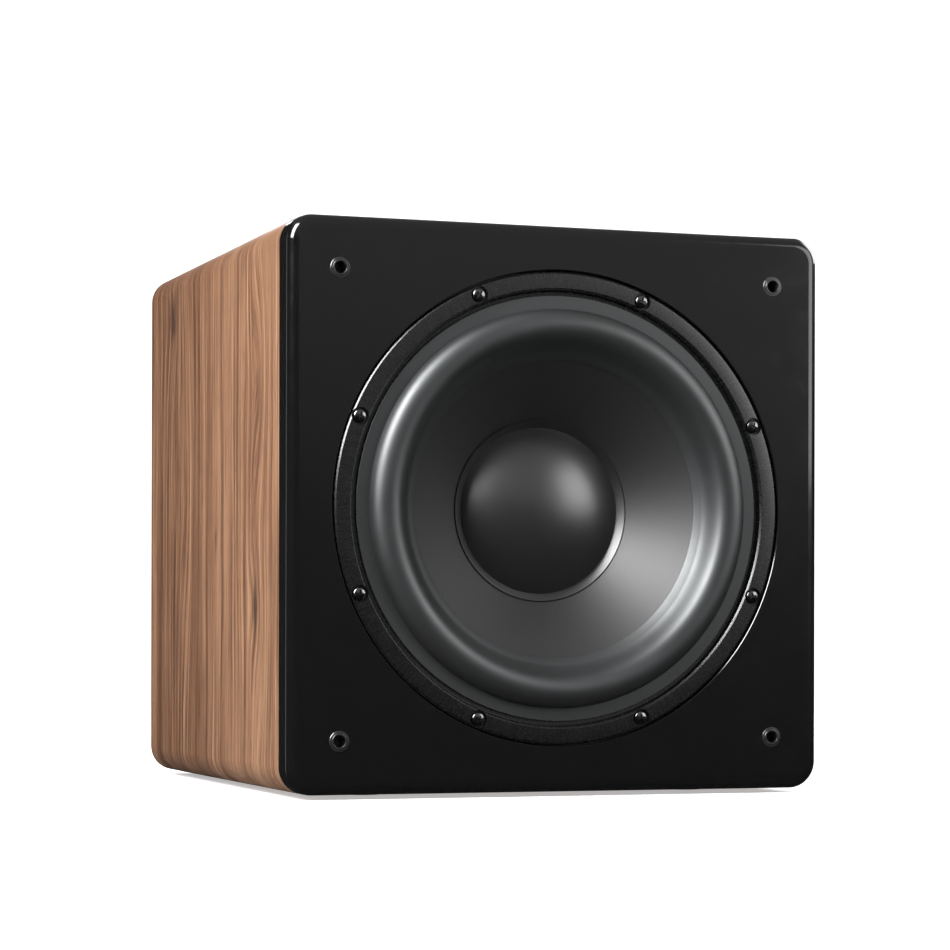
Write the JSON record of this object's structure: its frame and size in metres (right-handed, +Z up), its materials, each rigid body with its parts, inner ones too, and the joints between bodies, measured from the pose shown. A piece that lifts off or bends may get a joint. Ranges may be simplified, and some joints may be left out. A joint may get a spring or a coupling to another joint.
{
  "type": "subwoofer",
  "caption": "Powered cube subwoofer: veneered cabinet, gloss black front with a large flush driver, grille sockets, rear plate amplifier with controls and rubber feet.",
  "frame": {"origin": "bottom centre of the whole object's box, on the surface that the rubber feet stand on", "axes": "+X to the right seen from the front, +Y towards the rear amplifier, -Y out of the driver, +Z up"},
  "size_m": [0.37, 0.4102, 0.373],
  "materials": {
    "wood_veneer": "satin",
    "fibreboard": "matt",
    "gloss_black": "gloss",
    "black_paint": "matt",
    "fibre_wadding": "matt",
    "foot_rubber": "matt",
    "socket_plastic": "satin",
    "basket_metal": "satin",
    "surround_rubber": "satin",
    "cone_pulp": "satin",
    "former_foil": "satin",
    "coil_copper": "satin",
    "spider_cloth": "matt",
    "plated_steel": "satin",
    "ferrite": "matt",
    "terminal_board": "matt",
    "black_screws": "gloss",
    "plate_metal": "satin",
    "circuit_board": "satin",
    "winding_tape": "satin",
    "capacitor_sleeve": "gloss",
    "component_black": "matt",
    "black_plastic": "satin",
    "jack_metal": "gloss",
    "jack_insulator": "gloss",
    "control_metal": "satin",
    "lamp_lens": "gloss",
    "lead_red": "gloss",
    "lead_black": "gloss"
  },
  "bodies": {
    "cabinet": {"veneer_wrap": "wood_veneer", "top_panel": "fibreboard", "bottom_panel": "fibreboard", "left_panel": "fibreboard", "right_panel": "fibreboard", "front_baffle": "gloss_black", "back_panel": "black_paint", "window_brace": "fibreboard", "acoustic_wadding": "fibre_wadding", "foot_front_left": "foot_rubber", "foot_front_right": "foot_rubber", "foot_rear_left": "foot_rubber", "foot_rear_right": "foot_rubber", "grille_socket_top_left": "socket_plastic", "grille_socket_top_right": "socket_plastic", "grille_socket_bottom_left": "socket_plastic", "grille_socket_bottom_right": "socket_plastic", "driver_basket": "basket_metal", "driver_gasket": "foot_rubber", "surround": "surround_rubber", "spider": "spider_cloth", "top_plate": "plated_steel", "ring_magnet": "ferrite", "pole_yoke": "plated_steel", "tinsel_leads": "coil_copper", "driver_terminals": "terminal_board", "driver_screws": "black_screws", "t_nuts": "plated_steel", "amp_plate": "plate_metal", "amp_gasket": "foot_rubber", "amp_screws": "black_screws", "amp_back_box": "plated_steel", "heat_sink": "plate_metal", "main_board": "circuit_board", "control_board": "circuit_board", "board_standoffs": "plated_steel", "transformer": "winding_tape", "transformer_bolt": "plated_steel", "reservoir_capacitors": "capacitor_sleeve", "power_transistors": "component_black", "mains_inlet": "black_plastic", "inlet_pins": "plated_steel", "rocker_housing": "black_plastic", "line_in_jacks": "jack_metal", "jack_inserts": "jack_insulator", "gain_pot": "control_metal", "crossover_pot": "control_metal", "slide_switch_bodies": "control_metal", "led_lens": "lamp_lens", "speaker_lead_red": "lead_red", "speaker_lead_black": "lead_black"},
    "cone_assembly": {"cone": "cone_pulp", "dust_cap": "cone_pulp", "coil_former": "former_foil", "voice_coil": "coil_copper"},
    "gain_control": {"gain_knob": "black_plastic"},
    "crossover_control": {"crossover_knob": "black_plastic"},
    "phase_switch": {"phase_slider": "black_plastic"},
    "mode_switch": {"mode_slider": "black_plastic"},
    "power_switch": {"power_rocker": "black_plastic"}
  },
  "joints": [
    {"name": "cone_travel", "type": "slide", "parent": "cabinet", "child": "cone_assembly", "axis": [0, -1, 0], "range_m": [-0.012, 0.012], "stiffness_N_per_m": 4000, "deforming": ["surround", "spider", "tinsel_leads"]},
    {"name": "gain_turn", "type": "hinge", "parent": "cabinet", "child": "gain_control", "pos_m": [-0.036, 0.1991, 0.276], "axis": [0, 1, 0], "range_deg": [-150, 150]},
    {"name": "crossover_turn", "type": "hinge", "parent": "cabinet", "child": "crossover_control", "pos_m": [-0.086, 0.1991, 0.276], "axis": [0, 1, 0], "range_deg": [-150, 150]},
    {"name": "phase_slide", "type": "slide", "parent": "cabinet", "child": "phase_switch", "axis": [0, 0, 1], "range_m": [0, 0.004]},
    {"name": "mode_slide", "type": "slide", "parent": "cabinet", "child": "mode_switch", "axis": [0, 0, 1], "range_m": [0, 0.008]},
    {"name": "power_tilt", "type": "hinge", "parent": "cabinet", "child": "power_switch", "pos_m": [-0.061, 0.1841, 0.144], "axis": [0, 0, 1], "range_deg": [0, 18]}
  ]
}
